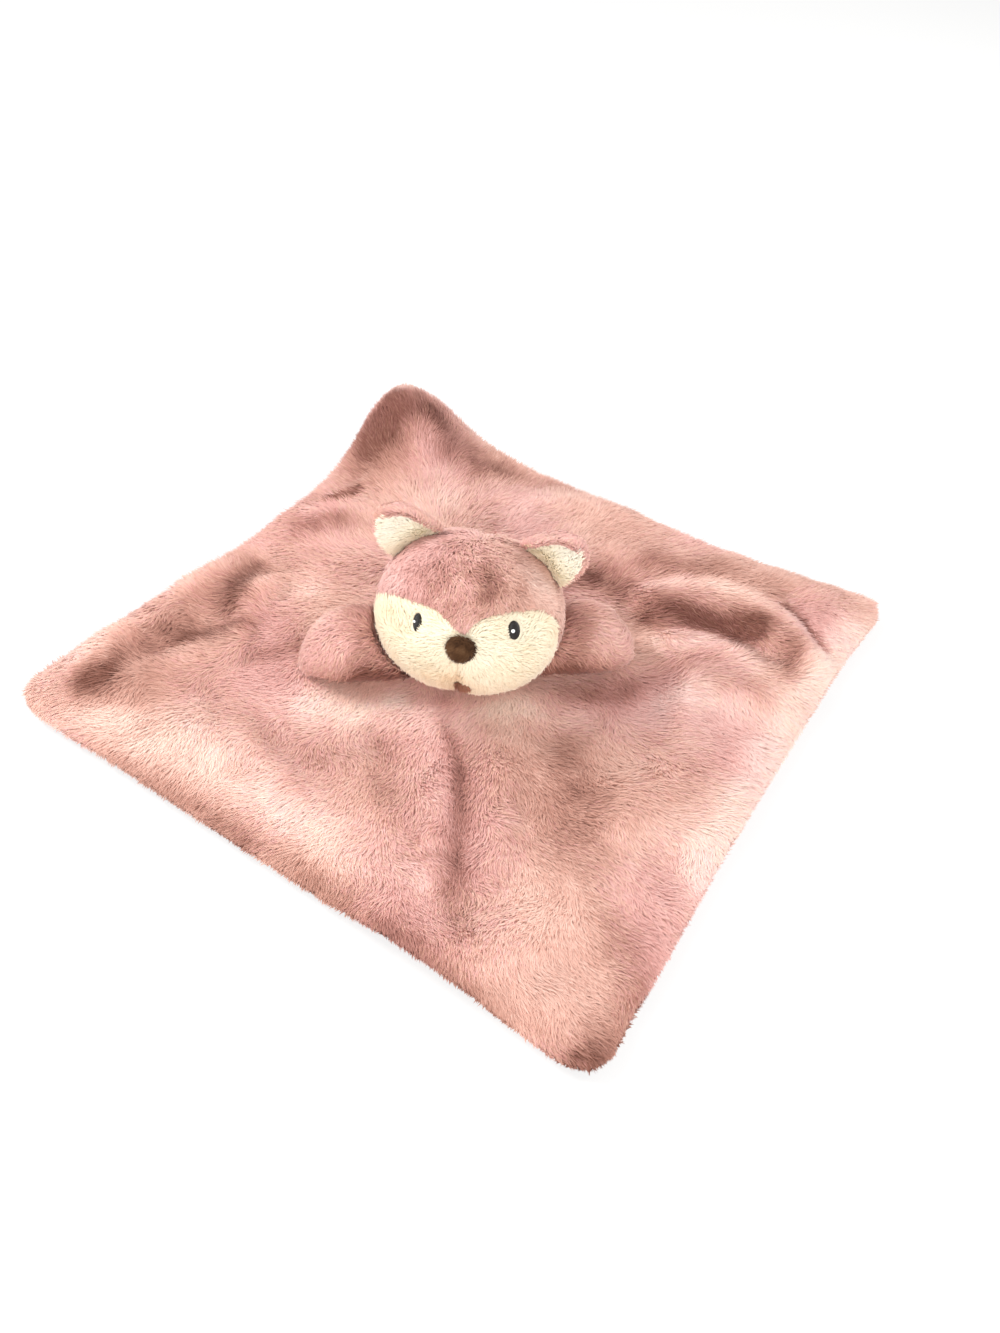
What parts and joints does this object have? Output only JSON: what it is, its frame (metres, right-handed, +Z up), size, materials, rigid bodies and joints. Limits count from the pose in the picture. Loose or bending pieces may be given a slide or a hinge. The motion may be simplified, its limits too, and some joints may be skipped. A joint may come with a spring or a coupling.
{
  "type": "comfort blanket lovey",
  "caption": "Square plush blanket laid as a diamond, with a stuffed animal head on a gathered neck, two round ears and two stub arms sewn to its middle.",
  "frame": {"origin": "on the floor, under the centre of the blanket's outline", "axes": "+X to the blanket's right corner as seen from the face, +Y to its back corner, away from the face, +Z up out of the blanket"},
  "size_m": [0.4482, 0.4288, 0.0985],
  "materials": {
    "rose_plush": "short clumped rabbit-style plush, dusty rose",
    "cream_plush": "short soft plush, cream",
    "stuffing": "polyester fibre stuffing, off-white",
    "nose_plush": "short brown plush",
    "mouth_thread": "satin stitched thread, red-brown",
    "eye_thread": "satin stitched thread, black",
    "glint_thread": "satin stitched thread, white",
    "rose_thread": "sewing thread, rose"
  },
  "bodies": {
    "blanket": {"blanket_top_panel": "rose_plush", "blanket_back_panel": "rose_plush", "blanket_edge_seam": "rose_thread"},
    "neck": {"neck_sleeve": "rose_plush", "neck_stuffing": "stuffing", "neck_gather_thread": "rose_thread"},
    "head": {"forehead_panel": "rose_plush", "cheek_panel_left": "cream_plush", "cheek_panel_right": "cream_plush", "head_back_panel_left": "rose_plush", "head_back_panel_right": "rose_plush", "head_stuffing": "stuffing", "nose": "nose_plush", "mouth_stitch": "mouth_thread", "eye_left": "eye_thread", "eye_glint_left": "glint_thread", "eye_right": "eye_thread", "eye_glint_right": "glint_thread"},
    "ear_left": {"ear_back_left": "rose_plush", "ear_lining_left": "cream_plush"},
    "ear_right": {"ear_back_right": "rose_plush", "ear_lining_right": "cream_plush"},
    "arm_left": {"arm_cover_left": "rose_plush", "arm_stuffing_left": "stuffing"},
    "arm_right": {"arm_cover_right": "rose_plush", "arm_stuffing_right": "stuffing"}
  },
  "joints": [
    {"name": "head_turn", "type": "hinge", "parent": "blanket", "child": "neck", "pos_m": [-0.016, -0.004, 0.044], "axis": [0, 0, 1], "range_deg": [-25, 65]},
    {"name": "head_nod", "type": "hinge", "parent": "neck", "child": "head", "pos_m": [-0.016, -0.004, 0.044], "axis": [0.9304, -0.3665, 0], "range_deg": [-10, 15]},
    {"name": "ear_left_fold", "type": "hinge", "parent": "head", "child": "ear_left", "pos_m": [-0.03831, 0.02306, 0.07748], "axis": [0.7487, -0.007, 0.6629], "range_deg": [-25, 20], "stiffness_Nm_per_rad": 0.01},
    {"name": "ear_right_fold", "type": "hinge", "parent": "head", "child": "ear_right", "pos_m": [0.01877, 0.00058, 0.07748], "axis": [0.5523, -0.5054, -0.6629], "range_deg": [-25, 20], "stiffness_Nm_per_rad": 0.01},
    {"name": "arm_left_swing", "type": "hinge", "parent": "blanket", "child": "arm_left", "pos_m": [-0.016, -0.004, 0.029], "axis": [0, 0, 1], "range_deg": [-20, 20]},
    {"name": "arm_right_swing", "type": "hinge", "parent": "blanket", "child": "arm_right", "pos_m": [-0.016, -0.004, 0.029], "axis": [0, 0, -1], "range_deg": [-20, 20]}
  ]
}
